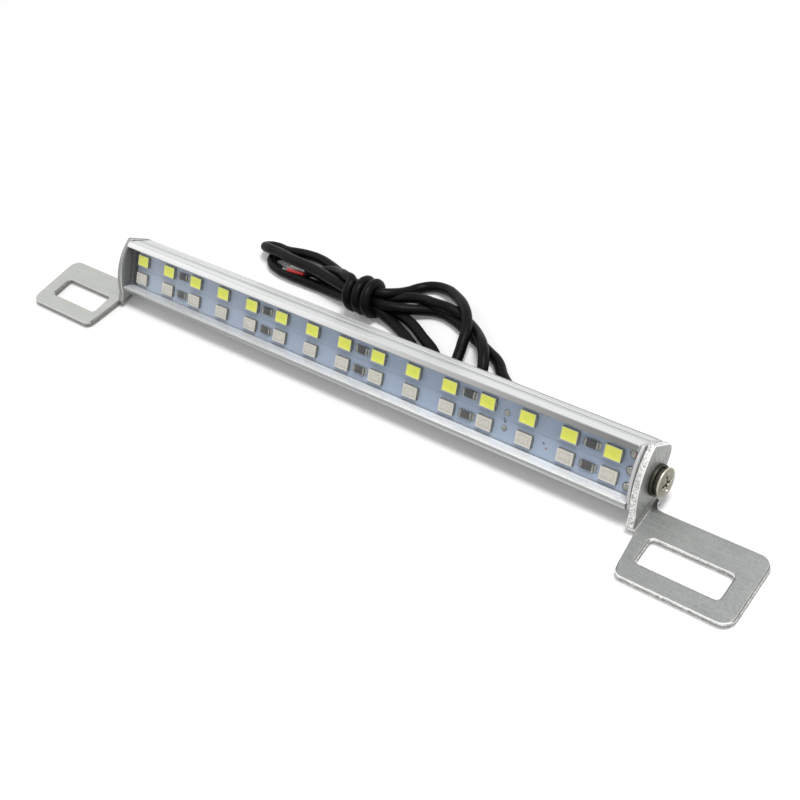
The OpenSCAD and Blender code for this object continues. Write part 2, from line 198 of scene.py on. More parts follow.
world = bpy.context.scene.world or bpy.data.worlds.new("studio")
bpy.context.scene.world = world
world.use_nodes = True
sky = world.node_tree
sky.nodes["Background"].inputs["Color"].default_value = (1, 1, 1, 1)
room_light = 0.44
sky.nodes["Background"].inputs["Strength"].default_value = room_light
path = sky.nodes.new("ShaderNodeLightPath")
seen = path.outputs["Is Camera Ray"]
for kind in ("Is Glossy Ray", "Is Transmission Ray"):
    either = sky.nodes.new("ShaderNodeMath")
    either.operation = "MAXIMUM"
    sky.links.new(seen, either.inputs[0])
    sky.links.new(path.outputs[kind], either.inputs[1])
    seen = either.outputs[0]
bright = sky.nodes.new("ShaderNodeBackground")
bright.inputs["Color"].default_value = (1, 1, 1, 1)
choice = sky.nodes.new("ShaderNodeMixShader")
sky.links.new(seen, choice.inputs[0])
sky.links.new(sky.nodes["Background"].outputs[0], choice.inputs[1])
sky.links.new(bright.outputs[0], choice.inputs[2])
sky.links.new(choice.outputs[0], sky.nodes["World Output"].inputs["Surface"])


def soft_lamp(name, place, width, watts):
    lamp = bpy.data.objects.new(name, bpy.data.lights.new(name, "AREA"))
    lamp.data.size = width
    lamp.data.energy = watts
    lamp.location = place
    lamp.rotation_euler = (-Vector(place)).to_track_quat("-Z", "Y").to_euler()
    bpy.context.collection.objects.link(lamp)


soft_lamp("top lamp", (0.28, 0.16, 0.92), 0.3, 6.8)
soft_lamp("left lamp", (-0.7, -0.2, 0.6), 0.5, 1.0)

# The channel: one drawn aluminium length, its outside brushed along the bar, with two fine
# grooves on top and its lips standing in front of the board. The drawing lines, a few
# deeper scratches and the slightly rounded edges are what catches the light. Shade is painted
# onto the front of the top, the upper lip's front, the lower lip, the corner by the board and
# into the grooves, and light is painted onto the upward lower wall.


def softened(node, name, width, segments, finish, body="lamp", angle=28, crowded=None):
    """A copy of a CAD piece, merged, with its sharp edges rounded, less so where crowded."""
    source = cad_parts[node]
    piece = bpy.data.objects.new(name, source.data.copy())
    bpy.context.collection.objects.link(piece)
    only(piece)
    bpy.ops.object.mode_set(mode="EDIT")
    bpy.ops.mesh.select_all(action="SELECT")
    bpy.ops.mesh.remove_doubles(threshold=0.000002)
    bpy.ops.mesh.dissolve_limited(angle_limit=radians(0.5))
    bpy.ops.mesh.normals_make_consistent(inside=False)
    bpy.ops.object.mode_set(mode="OBJECT")
    rounding = piece.modifiers.new("rounding", "BEVEL")
    rounding.width = width
    rounding.segments = segments
    rounding.limit_method = "ANGLE"
    rounding.angle_limit = radians(angle)
    rounding.use_clamp_overlap = False
    if crowded:
        rounding.limit_method = "WEIGHT"
        shape = bmesh.new()
        shape.from_mesh(piece.data)
        share = shape.edges.layers.float.new("bevel_weight_edge")
        for edge in shape.edges:
            if edge.calc_face_angle(0.0) > radians(angle):
                middle = (edge.verts[0].co + edge.verts[1].co) / 2
                edge[share] = 0.25 if crowded(middle) else 1.0
        shape.to_mesh(piece.data)
        shape.free()
    bpy.ops.object.modifier_apply(modifier="rounding")
    bpy.ops.object.shade_smooth_by_angle(angle=radians(40))
    evening = piece.modifiers.new("even normals", "WEIGHTED_NORMAL")
    evening.keep_sharp = True
    bpy.ops.object.modifier_apply(modifier=evening.name)
    piece.data.materials.clear()
    piece.data.materials.append(finish.material)
    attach(piece, body)
    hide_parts(node)
    return piece


brushed = Finish("brushed aluminium")
lines = brushed.noise(brushed.stretched((9, 2600, 2600)), 1, 3)
streaks = brushed.noise(brushed.stretched((3, 700, 700)), 1, 3)
drawn = lines * 0.5 + streaks * 0.5
rubbed = brushed.noise(brushed.stretched((60, 90, 90)), 1, 3)
tilt = radians(36)
board_low, board_high = map(Vector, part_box("circuit_board"))
board_middle = (board_low + board_high) / 2
board_middle.x = 0


def leaned_back(finish):
    """Where a point lies from the middle of the board, with Z up the bar's slope."""
    turned = Matrix.Rotation(tilt, 3, "X") @ board_middle
    return finish.node(
        "ShaderNodeMapping",
        {},
        {"Vector": finish.place(), "Rotation": (tilt, 0, 0), "Location": -turned},
    )


def facing_way(finish):
    """Which way a face looks, with Z up the bar's slope."""
    normal = finish.node("ShaderNodeTexCoord", {}, {}, "Normal")
    return finish.node("ShaderNodeMapping", {}, {"Vector": normal, "Rotation": (tilt, 0, 0)})


along, depth, height = brushed.parts(leaned_back(brushed))
_, outward, upward = brushed.parts(facing_way(brushed))
scored = brushed.ramp(drawn, 0.40, 0.58)
metal = brushed.tint(scored, (0.50, 0.51, 0.51, 1), (0.98, 0.99, 1.0, 1))
# Painted shade: the top and lip in front of the grooves are painted a little darker than the back
# edge.
top_foot, board_face = 0.0060, 0.0008
front_top_shade = (height > top_foot) * (depth < board_face)
metal = brushed.tint(front_top_shade * 0.45, metal, (0.52, 0.53, 0.53, 1))
# Painted shade: the upper lip's front is painted grey, darkening to near black towards the right
# end.
lip_clear, lip_full = 0.0067, 0.0062
front = outward < -0.6
upper_lip_shade = front * (height > 0) * brushed.ramp(height, lip_clear, lip_full)
dim, dark = (0.50, 0.50, 0.50, 1), (0.15, 0.15, 0.145, 1)
shade = brushed.tint(brushed.ramp(along, -0.01, 0.07), dim, dark)
metal = brushed.tint(upper_lip_shade * 0.9, metal, shade)
# Painted shade: faces below the board that don't face up, the lower lip's front and the underside,
# are painted dark grey, a little less along the bright drawing lines.
lower_top = -0.002
lower_lip_shade = (1 - (upward > 0.5)) * (height < lower_top)
metal = brushed.tint(lower_lip_shade * (0.95 - 0.35 * scored), metal, (0.20, 0.205, 0.20, 1))
# Painted light: the upward lower wall is painted pale, turning white towards the right end, and is
# made mostly non-metallic.
lower_wall = (upward > 0.5) * (height < lower_top)
pale, bright = (0.62, 0.63, 0.64, 1), (1.0, 1.0, 1.0, 1)
lit = brushed.tint(brushed.ramp(along, -0.05, 0.03), pale, bright)
metal = brushed.tint(lower_wall * 0.92, metal, lit)
# Painted shade: a dark line where the lower wall meets the board.
corner_start, corner_end = -0.0011, -0.0008
corner_shade = lower_wall * brushed.ramp(depth, corner_start, corner_end)
metal = brushed.tint(corner_shade * 0.8, metal, (0.10, 0.11, 0.12, 1))
# Painted shade: the insides of the two grooves are painted nearly black.
groove_floor, groove_back = 0.00652, 0.0044
groove_shade = (height > top_foot) * (height < groove_floor) * (depth > 0) * (depth < groove_back)
metal = brushed.tint(groove_shade * 0.7, metal, (0.07, 0.07, 0.065, 1))
brushed.feed("Base Color", metal)
brushed.feed("Metallic", 1 - 0.8 * lower_wall)
brushed.feed("Roughness", 0.22 + 0.16 * lines + 0.14 * rubbed)
brushed.relief(drawn, 0.00005)
softened("housing", "channel", 0.00012, 2, brushed)

# The circuit board: white solder mask over aluminium, which looks pale blue. Copper runs
# under the mask show as slightly lighter bands, parted by thin lines between the LEDs.
# Lengths on the board are measured along the bar and up its slope, from its middle.
facing = Vector((0, -cos(tilt), sin(tilt)))
up_board = Vector((0, sin(tilt), cos(tilt)))
board_t = 0.001


def on_board(along, up, out=0.0):
    """A point of the board's front face, or in front of it."""
    return board_middle + Vector((along, 0, 0)) + up_board * up + facing * (board_t / 2 + out)


mask = Finish("pale blue solder mask")
along, _, up = mask.parts(leaned_back(mask))
half_gap, copper_edge = 0.00016, 0.0049
gaps = abs(up) < half_gap
edge = abs(up) > copper_edge
cloud = mask.noise(mask.stretched((40, 120, 120)), 1, 3)
dust = mask.noise(mask.place(), 2600, 2)
face = mask.tint(cloud, (0.34, 0.42, 0.55, 1), (0.44, 0.52, 0.65, 1))
# Painted sheen: the mask is painted lighter towards the left end of the bar.
face = mask.tint(mask.ramp(along, 0.0, -0.07) * 0.35, face, (0.62, 0.66, 0.72, 1))
face = mask.tint(gaps * 0.25, face, (0.22, 0.29, 0.40, 1))
face = mask.tint(edge * 0.5, face, (0.45, 0.49, 0.54, 1))
row_up = 0.0023
chip_x, chip_pitch = 0.004, 0.030
# Flux stain and painted shadow: the board is darkened, unevenly, under and round each resistor in
# both rows.
stain_and_shadow_l, stain_and_shadow_w = 0.0024, 0.0011
beside = mask.from_nearest(along, chip_x, chip_pitch)
flux_and_shadow = (beside < stain_and_shadow_l) * (abs(abs(up) - row_up) < stain_and_shadow_w) * mask.ramp(dust, 0.3, 0.6)
face = mask.tint(flux_and_shadow * 0.45, face, (0.16, 0.17, 0.17, 1))
dots = [
    (0.0534, -0.0016, 0.00026, (0.05, 0.06, 0.06, 1)),
    (0.0542, -0.0025, 0.00024, (0.40, 0.12, 0.10, 1)),
    (0.0436, -0.0004, 0.00034, (0.07, 0.08, 0.09, 1)),
    (0.0433, 0.0001, 0.00024, (0.12, 0.13, 0.15, 1)),
]
for dot_x, dot_up, radius, colour in dots:
    from_dot = (along - dot_x) ** 2 + (up - dot_up) ** 2
    face = mask.tint((from_dot < radius * radius) * 0.8, face, colour)
mask.feed("Base Color", face)
mask.feed("Roughness", 0.30 + 0.2 * dust)
mask.relief(gaps * -1.0 + dust * 0.2, 0.00003)
softened("circuit_board", "board", 0.00008, 1, mask)

# The LEDs: one upper and one lower row of white moulded packages, 3.9 by 2.8 mm. Each has
# a tinned lead folded round both ends and a window filled to just below its rim: yellow
# phosphor in the upper row, clear resin over small dark chips in the lower row.
led_l, led_w, led_t = 0.0039, 0.0028, 0.0008
led_count, led_pitch, led_shift = 15, 0.010, -0.001
led_x = [led_shift + (i - (led_count - 1) / 2) * led_pitch for i in range(led_count)]


def add_box(low, high):
    """A box primitive between two corners, on its own and active."""
    bpy.ops.object.select_all(action="DESELECT")
    middle = (Vector(low) + Vector(high)) / 2
    bpy.ops.mesh.primitive_cube_add(size=1, location=middle, scale=Vector(high) - Vector(low))
    bpy.ops.object.transform_apply(location=True, rotation=False, scale=True)
    return bpy.context.object


def pick_faces(piece, wanted):
    """Selects the faces whose centre and normal pass the test, in edit mode."""
    bpy.ops.object.mode_set(mode="EDIT")
    bpy.ops.mesh.select_mode(type="FACE")
    bpy.ops.mesh.select_all(action="DESELECT")
    shape = bmesh.from_edit_mesh(piece.data)
    for side in shape.faces:
        side.select = wanted(side.calc_center_median(), side.normal)
    bmesh.update_edit_mesh(piece.data)


def rounded(piece, width):
    only(piece)
    rounding = piece.modifiers.new("rounding", "BEVEL")
    rounding.width = width
    rounding.segments = 2
    rounding.limit_method = "ANGLE"
    rounding.angle_limit = radians(30)
    bpy.ops.object.modifier_apply(modifier="rounding")
    bpy.ops.object.shade_smooth_by_angle(angle=radians(40))


def joined(name, *pieces):
    only(*pieces)
    bpy.ops.object.join()
    pieces[0].name = name
    return pieces[0]


def laid(pattern, name, along, up, out=0.0):
    """A copy of a piece modelled on a level board, turned and put on the real one."""
    mesh = pattern.data.copy()
    mesh.transform(Matrix.Translation(on_board(along, up, out)) @ Matrix.Rotation(-tilt, 4, "X"))
    piece = bpy.data.objects.new(name, mesh)
    bpy.context.collection.objects.link(piece)
    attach(piece, "lamp")
    return piece


led_seat = 0.00002
package = add_box((-led_l / 2, -led_t, -led_w / 2), (led_l / 2, -led_seat, led_w / 2))
pick_faces(package, lambda middle, normal: normal.y < -0.9)
bpy.ops.mesh.inset(thickness=0.00014, depth=0)
bpy.ops.mesh.inset(thickness=0.00006, depth=-0.00012)
bpy.ops.object.mode_set(mode="OBJECT")
rounded(package, 0.00005)
lead_in, lead_out, lead_top, lead_half_w, lead_seat = 0.0004, 0.00014, 0.0005, 0.0009, 0.00001
tin_leads = []
for side in (-1, 1):
    near, far = sorted((side * (led_l / 2 - lead_in), side * (led_l / 2 + lead_out)))
    tin_leads.append(add_box((near, -lead_top, -lead_half_w), (far, -lead_seat, lead_half_w)))
    rounded(tin_leads[-1], 0.00005)

tin = Finish("bright tin", Metallic=1.0)
flow = tin.noise(tin.place(), 1800, 3)
tin.feed("Base Color", tin.tint(flow, (0.12, 0.12, 0.105, 1), (0.46, 0.46, 0.42, 1)))
tin.feed("Roughness", 0.18 + 0.3 * flow)
tin.relief(flow, 0.00006)


def moulding(name, colour, stained):
    plastic = Finish(name)
    fine = plastic.noise(plastic.place(), 5000, 2)
    wide = plastic.noise(plastic.place(), 700, 2)
    _, outward, _ = plastic.parts(facing_way(plastic))
    skin = plastic.tint(wide, colour, stained)
    # Painted shade: the package's sides and back are painted dark brown.
    shaded_flank = outward > -0.5
    plastic.feed("Base Color", plastic.tint(shaded_flank * 0.9, skin, (0.12, 0.11, 0.075, 1)))
    plastic.feed("Roughness", 0.38 + 0.25 * fine)
    plastic.relief(fine, 0.00001)
    return plastic


upper_plastic = moulding("warm white moulding", (0.70, 0.69, 0.58, 1), (0.80, 0.79, 0.68, 1))
lower_plastic = moulding("cream moulding", (0.72, 0.69, 0.61, 1), (0.80, 0.77, 0.70, 1))
package.data.materials.append(upper_plastic.material)
for tin_lead in tin_leads:
    tin_lead.data.materials.append(tin.material)
package = joined("led pattern", package, *tin_leads)
lower_package = package.copy()
lower_package.data = package.data.copy()
lower_package.data.materials[0] = lower_plastic.material

window_l, window_w = led_l - 0.00024, led_w - 0.00026
window_front, window_back = -0.00073, -0.00062
window = add_box(
    (-window_l / 2, window_front, -window_w / 2), (window_l / 2, window_back, window_w / 2)
)
pick_faces(window, lambda middle, normal: normal.y < -0.9)
bpy.ops.mesh.inset(thickness=0.0005, depth=0.00003)
bpy.ops.object.mode_set(mode="OBJECT")
rounded(window, 0.0001)

# Painted light: the phosphor glows faintly in its own yellow, though the LEDs are not lit.
phosphor = Finish("yellow phosphor", Emission_Strength=0.16)
grains = phosphor.noise(phosphor.place(), 4200, 3)
pool = phosphor.noise(phosphor.place(), 900, 1)
along, _, up = phosphor.parts(leaned_back(phosphor))
mark_l, mark_w = 0.0012, 0.0006
across = phosphor.from_nearest(along, led_x[0], led_pitch)
mark = (across < mark_l) * (abs(up - row_up) < mark_w) * phosphor.ramp(grains, 0.45, 0.65)
yellow = phosphor.tint(pool, (0.92, 0.96, 0.07, 1), (0.98, 0.99, 0.18, 1))
yellow = phosphor.tint(mark * 0.6, yellow, (0.62, 0.68, 0.05, 1))
phosphor.feed("Base Color", yellow)
phosphor.feed("Emission Color", yellow)
phosphor.feed("Roughness", 0.3 + 0.3 * grains)
phosphor.relief(grains, 0.00003)

resin = Finish("clear resin over chips", Coat_Weight=0.4)
specks = resin.noise(resin.place(), 2600, 3)
along, _, up = resin.parts(leaned_back(resin))
well_l, well_w, rim_w = 0.0012, 0.0007, 0.0002
across = resin.from_nearest(along, led_x[0], led_pitch)
from_row = abs(up + row_up)
well = (across < well_l) * (from_row < well_w)
rim = (across < well_l + rim_w) * (from_row < well_w + rim_w) * (1 - well)
pool = resin.tint(specks, (0.64, 0.60, 0.50, 1), (0.78, 0.75, 0.67, 1))
pool = resin.tint(rim * 0.35, pool, (0.34, 0.31, 0.24, 1))
chips = well * (specks > 0.56)
resin.feed("Base Color", resin.tint(chips * 0.5, pool, (0.40, 0.37, 0.30, 1)))
resin.feed("Roughness", 0.12 + 0.25 * specks)
resin.relief(specks, 0.00003)

rows = [
    ("upper", row_up, package, phosphor, "white_led_bodies", "white_led_phosphors", "led_phosphor"),
    ("lower", -row_up, lower_package, resin, "red_led_bodies", "red_led_windows", "led_window"),
]
for row, height, body, filling, body_node, window_node, window_slot in rows:
    window.data.materials.clear()
    window.data.materials.append(filling.material)
    for number, x in enumerate(led_x, 1):
        moulded = laid(body, f"{row}_led_{number}", x, height)
        glazed = laid(window, f"{row}_led_window_{number}", x, height)
        if number == 1:
            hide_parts(body_node)
            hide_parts(window_node)
bpy.data.objects.remove(lower_package)
bpy.data.objects.remove(package)
bpy.data.objects.remove(window)

# The resistors: chip resistors of 3.2 by 1.6 mm, one in each row after every third LED,
# from the second on. Each is a dark glazed slab whose ends are tinned and stand in small
# solder fillets.
chip_l, chip_w, chip_t = 0.0032, 0.0016, 0.00055
slab_l, slab_seat = chip_l - 0.0008, 0.00004
slab = add_box((-slab_l / 2, -chip_t, -chip_w / 2), (slab_l / 2, -slab_seat, chip_w / 2))
rounded(slab, 0.00004)
glaze = Finish("dark resistor glaze", Specular_IOR_Level=0.25)
cast = glaze.noise(glaze.place(), 3000, 2)
glaze.feed("Base Color", glaze.tint(cast, (0.03, 0.03, 0.028, 1), (0.14, 0.14, 0.13, 1)))
glaze.feed("Roughness", 0.25 + 0.2 * cast)
glaze.relief(cast, 0.00002)
slab.data.materials.append(glaze.material)
ends = []
coat = 0.00002
band_l, band_t, band_half_w = 0.00045, chip_t + coat, chip_w / 2 + coat
fillet_in, fillet_out, fillet_t, fillet_seat = 0.0001, 0.0004, 0.0003, 0.00001
for side in (-1, 1):
    near, far = sorted((side * (chip_l / 2 - band_l), side * chip_l / 2))
    band = add_box((near, -band_t, -band_half_w), (far, -coat, band_half_w))
    rounded(band, 0.00005)
    band.data.materials.append(tin.material)
    near, far = sorted((side * (chip_l / 2 - fillet_in), side * (chip_l / 2 + fillet_out)))
    fillet = add_box((near, -fillet_t, -chip_w / 2), (far, -fillet_seat, chip_w / 2))
    pick_faces(fillet, lambda middle, normal: normal.x * side > 0.9)
    bpy.ops.transform.resize(value=(1, 0.2, 0.8), center_override=(0, 0, 0))
    bpy.ops.object.mode_set(mode="OBJECT")
    rounded(fillet, 0.00006)
    fillet.data.materials.append(tin.material)
    ends += [band, fillet]
chip = joined("resistor pattern", slab, *ends)
for row, height in (("upper", row_up), ("lower", -row_up)):
    for number, first in enumerate(range(1, led_count - 1, 3), 1):
        between = (led_x[first] + led_x[first + 1]) / 2
        placed = laid(chip, f"{row}_resistor_{number}", between, height)
        if number == 1:
            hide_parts(row + "_resistors")
bpy.data.objects.remove(chip)

# The solder: two test pads near the right end of the board, and the three joints where the
# cores are soldered on. Each is a low shiny dome, a little uneven.


def solder_dome(name, along, up, width, height, node):
    bpy.ops.object.select_all(action="DESELECT")
    bpy.ops.mesh.primitive_uv_sphere_add(segments=32, ring_count=16, radius=1, location=(0, 0, 0))
    dome = bpy.context.object
    pick_faces(dome, lambda middle, normal: middle.y > 0.02)
    bpy.ops.mesh.delete(type="FACE")
    bpy.ops.mesh.select_all(action="SELECT")
    bpy.ops.mesh.bisect(plane_co=(0, -0.05, 0), plane_no=(0, 1, 0), use_fill=True, clear_outer=True)
    bpy.ops.mesh.select_all(action="SELECT")
    bpy.ops.mesh.normals_make_consistent(inside=False)
    bpy.ops.object.mode_set(mode="OBJECT")
    dome.data.transform(Matrix.Diagonal((width / 2, height, width / 2, 1)))
    only(dome)
    bpy.ops.object.shade_smooth_by_angle(angle=radians(50))
    dome.data.materials.append(tin.material)
    placed = laid(dome, name, along, up, out=-0.00002)
    bpy.data.objects.remove(dome)
    if node:
        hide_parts(node)


pad_x = (led_x[11] + led_x[12]) / 2 - 0.0003
solder_dome("upper_test_pad", pad_x, 0.0015, 0.0014, 0.0004, "test_pads")
solder_dome("lower_test_pad", pad_x, -0.0018, 0.0013, 0.0004, None)
joint_x = 0.07305
for number, up in enumerate((0.0035, 0.0001, -0.0032), 1):
    name = f"core_joint_{number}"
    solder_dome(name, joint_x, up, 0.0019, 0.00065, "wire_joints" if number == 1 else None)

# The lead: half a metre of limp black cable, 2.6 mm thick, from the grommet behind the bar.
# It lies on the floor, folded to and fro into a hank that its own end winds two and a half
# times. Its three cores end bare in the left lobe. The points are in millimetres.
lead_d = 0.0026
outlet = [(62, 11.951, 5.031), (62, 12.6, 4.56), (62, 13.4, 3.9), (61.3, 14.6, 2.7),
          (59.4, 15.2, 1.7), (56.7, 15, 1.3), (52, 14.6, 1.3), (46, 14.5, 1.3),
          (40, 15, 1.3), (35.5, 16.6, 1.3), (31, 19.2, 1.3), (27.4, 22.3, 1.3)]
first_run = [(24.2, 23.7, 1.3), (19.3, 25.6, 1.3), (14, 27.6, 1.3), (9.2, 29.1, 1.3),
             (4.9, 29.4, 1.4), (1.3, 28, 1.9), (-2, 25.8, 2.9), (-5.2, 24.2, 3.9),
             (-8.6, 23.6, 4.3), (-12.5, 23.3, 3.4), (-16.6, 23.1, 2.8)]
lower_lobe = [(-21.5, 23.6, 1.9), (-28, 24.2, 1.3), (-34.9, 24.3, 1.3), (-40, 24.4, 1.3),
              (-44.3, 24.9, 1.3), (-47.3, 26, 1.3), (-48.6, 27.7, 1.3), (-47.2, 29.2, 1.3),
              (-44.3, 29.3, 1.3), (-38, 28.6, 1.3), (-30, 27.2, 1.3), (-23, 26.3, 2),
              (-17, 25.6, 3.2), (-12.5, 25.6, 3.4), (-9, 25.8, 3.8)]
outer_loop = [(-6.2, 27.3, 3.4), (-3.1, 29.3, 3), (-0.1, 30.1, 3), (4.1, 29.8, 3.6),
              (7.9, 29.9, 3.6), (11, 30, 2.6), (14.3, 29.2, 1.6), (18.9, 26.6, 2.4),
              (23.3, 22.9, 3.9), (25.5, 20.2, 3.7), (26.6, 17.2, 2.4), (25.6, 14.2, 1.5),
              (22.9, 12.2, 1.3), (18.6, 11.3, 1.3), (14.3, 12.4, 1.3), (10.2, 15.3, 1.3),
              (5.4, 18.3, 1.3), (-1.1, 21.2, 1.3), (-4.9, 22.4, 1.7), (-8.6, 22.9, 3),
              (-12.5, 23.3, 4.7), (-16.8, 23.7, 5.4)]
upper_lobe = [(-20.8, 24.1, 5.6), (-26, 24.9, 5.6), (-32.1, 25.9, 5.4), (-39.4, 26.7, 4.8),
              (-45.2, 27.7, 4.2), (-50.2, 28.4, 3.6), (-52.2, 29.3, 2.6), (-52.2, 30.6, 1.6),
              (-50, 31.3, 1.3), (-46.6, 31.2, 1.3), (-42.6, 31.9, 1.3), (-39.5, 32.3, 1.3),
              (-36, 32.3, 1.3), (-32, 31.6, 1.3), (-27.5, 30.2, 1.7), (-23.4, 28.5, 2.8),
              (-19.9, 27.1, 4.1), (-16.4, 26, 5.3), (-12.5, 25.5, 5.6), (-9, 25.6, 5.6)]
inner_loop = [(-6.7, 27.5, 4.6), (-5.4, 31, 2.6), (-4.2, 34, 1.6), (-1.8, 36, 1.3),
              (2.1, 36.3, 1.6), (7.2, 34.3, 2.8), (11.8, 31.4, 4), (14.9, 28.4, 4.4),
              (16.9, 25.4, 4.1), (17.9, 22.5, 3.4), (18.4, 20.2, 2.4), (18.8, 17.3, 1.6),
              (18, 15.2, 1.3), (16.2, 14.6, 1.3), (14.4, 15.9, 1.3), (12.8, 17.9, 1.3),
              (6.8, 21.1, 1.3), (0.3, 24, 1.3), (-3.8, 24.8, 1.3), (-6.9, 24.6, 1.3)]
wound_points, first_angle, wound_angle = 30, 262, 892
wound_x, wound_y, wound_z = -8.9, 24.4, 4.5
wound_l, half_depth, half_height = 7, 3.6, 3.2
wound = []
for step in range(wound_points + 1):
    done = step / wound_points
    angle = radians(first_angle - wound_angle * done)
    beside = wound_x - wound_l * done
    wound.append((beside, wound_y + half_depth * cos(angle), wound_z + half_height * sin(angle)))
tail = [(-19.4, 25.9, 7), (-23.3, 27.4, 5.2), (-27.3, 28.1, 3.9), (-31, 27, 3.1),
        (-34.3, 26.1, 2.8)]
route = outlet + first_run + lower_lobe + outer_loop + upper_lobe + inner_loop + wound + tail

line = bpy.data.curves.new("lead", "CURVE")
line.dimensions = "3D"
line.bevel_depth = lead_d / 2
line.bevel_resolution = 5
line.resolution_u = 6
line.use_fill_caps = True
spline = line.splines.new("BEZIER")
spline.bezier_points.add(len(route) - 1)
for knot, spot in zip(spline.bezier_points, route):
    knot.co = Vector(spot) / 1000
    knot.handle_left_type = "AUTO"
    knot.handle_right_type = "AUTO"
lead = bpy.data.objects.new("lead", line)
bpy.context.collection.objects.link(lead)
sheath = Finish("black cable sheath", Specular_IOR_Level=0.1)
grain = sheath.noise(sheath.place(), 1500, 3)
smears = sheath.noise(sheath.place(), 160)
sheath.feed("Base Color", sheath.tint(smears, (0.001, 0.001, 0.0012, 1), (0.004, 0.004, 0.0045, 1)))
sheath.feed("Roughness", 0.32 + 0.22 * smears)
sheath.relief(grain, 0.00004)
line.materials.append(sheath.material)
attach(lead, "lamp")
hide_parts("cable_tube", "cable_hank")

# The cores: the lead's three insulated wires, red, white and black. They run inside the
# channel from the solder joints back to the lead, and come out again at its far end,
# where a little of each one's tinned copper is stripped bare.


def insulation(name, colour, faded):
    pvc = Finish(name)
    dirt = pvc.noise(pvc.place(), 900, 3)
    pvc.feed("Base Color", pvc.tint(dirt, colour, faded))
    pvc.feed("Roughness", 0.28 + 0.25 * dirt)
    pvc.relief(dirt, 0.00001)
    return pvc


red = insulation("red insulation", (0.42, 0.010, 0.012, 1), (0.60, 0.030, 0.030, 1))
white = insulation("white insulation", (0.70, 0.69, 0.67, 1), (0.82, 0.81, 0.79, 1))
black = insulation("black insulation", (0.008, 0.008, 0.009, 1), (0.020, 0.020, 0.021, 1))
cores = (("red", red, -1, 5), ("white", white, 0, 0), ("black", black, 1, -5))
sleeve_r, sleeve_l = 0.00045, 0.0054
wire_r, wire_l, wire_lane = 0.00009, 0.0022, 0.00019
wire_middle = sleeve_l + 0.0005
bare_x, bare_y, bare_z = -34.5, 26.1, 2.8
for colour, finish, lane, turn in cores:
    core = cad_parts[colour + "_core"]
    core.data.materials.clear()
    core.data.materials.append(finish.material)
    bpy.ops.object.select_all(action="DESELECT")
    bpy.ops.mesh.primitive_cylinder_add(
        vertices=24, radius=sleeve_r, depth=sleeve_l, location=(0, 0, sleeve_l / 2)
    )
    sleeve = bpy.context.object
    pick_faces(sleeve, lambda middle, normal: abs(normal.z) > 0.9)
    bpy.ops.mesh.inset(thickness=0.00014, depth=-0.0002)
    bpy.ops.object.mode_set(mode="OBJECT")
    rounded(sleeve, 0.00006)
    sleeve.data.materials.append(finish.material)
    strands = [sleeve]
    for strand in range(7):
        around = strand * pi / 3
        lane_out = wire_lane if strand else 0.0
        spot = (lane_out * cos(around), lane_out * sin(around), wire_middle)
        bpy.ops.object.select_all(action="DESELECT")
        bpy.ops.mesh.primitive_cylinder_add(vertices=10, radius=wire_r, depth=wire_l, location=spot)
        wire = bpy.context.object
        pick_faces(wire, lambda middle, normal: normal.z > 0.9)
        bpy.ops.transform.rotate(value=0.5, orient_axis="Z", center_override=(0, 0, 0))
        bpy.ops.object.mode_set(mode="OBJECT")
        wire.data.materials.append(tin.material)
        strands.append(wire)
    end = joined(colour + "_stripped_end", *strands)
    only(end)
    bpy.ops.object.transform_apply(location=True, rotation=True, scale=True)
    start = Vector((bare_x, bare_y + lane, bare_z)) / 1000
    end.data.transform(
        Matrix.Translation(start)
        @ Matrix.Rotation(radians(180 + turn), 4, "Z")
        @ Matrix.Rotation(radians(90), 4, "Y")
    )
    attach(end, "lamp")
    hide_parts(colour + "_core_end")

# The sheath's end inside the grommet, and the grommet: black rubber, snapped into the back
# wall with a lip inside, a round flange outside and a short tapered tail round the lead.
inner_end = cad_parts["cable_inner_end"]
inner_end.data.materials.clear()
inner_end.data.materials.append(sheath.material)
rubber = Finish("black rubber", Specular_IOR_Level=0.3)
bloom = rubber.noise(rubber.place(), 700, 3)
rubber.feed("Base Color", rubber.tint(bloom, (0.012, 0.012, 0.013, 1), (0.032, 0.032, 0.034, 1)))
rubber.feed("Roughness", 0.5 + 0.25 * bloom)
rubber.relief(bloom, 0.00003)
softened("cable_grommet", "grommet", 0.0002, 3, rubber, angle=35)

# The lens: a clear shallow acrylic dome, pushed in from the end between the lips. It shows
# only by its soft reflections and a faint haze along its length.
acrylic = Finish("clear acrylic", Base_Color=(1, 1, 1, 1))
hairlines = acrylic.noise(acrylic.stretched((6, 1500, 1500)), 1, 2)
acrylic.feed("Roughness", 0.04 + 0.10 * hairlines)
slant = acrylic.node("ShaderNodeLayerWeight", {}, {"Blend": 0.5}, "Facing")
clear = acrylic.node("ShaderNodeBsdfTransparent", {}, {"Color": (0.985, 0.99, 0.995, 1)})
gloss = Value(acrylic, acrylic.shader.outputs[0])
shine = slant ** 4 * 0.5 + 0.012
skin = acrylic.node("ShaderNodeMixShader", {}, {0: shine, 1: clear, 2: gloss})
acrylic.tree.links.new(skin.socket, acrylic.output.inputs["Surface"])
softened("lens", "clear_cover", 0.00006, 1, acrylic)

# The end caps: thin grey castings that close the channel, each with a plug that the swivel
# screw bites into. The left one is bedded on a bead of black sealant.
casting = Finish("grey cap casting", Metallic=0.7)
sand = casting.noise(casting.place(), 1600, 4)
shell = casting.tint(sand, (0.42, 0.42, 0.43, 1), (0.66, 0.66, 0.66, 1))
# Painted shade: the left cap is painted much darker than the right one, as its end of the bar lies
# in shade.
leftward = casting.parts(casting.place())[0] < 0
casting.feed("Base Color", casting.tint(leftward * 0.85, shell, (0.12, 0.125, 0.13, 1)))
casting.feed("Roughness", 0.4 + 0.25 * sand)
casting.relief(sand, 0.00003)
softened("left_end_cap", "left_cap", 0.00015, 2, casting)
softened("right_end_cap", "right_cap", 0.00015, 2, casting)

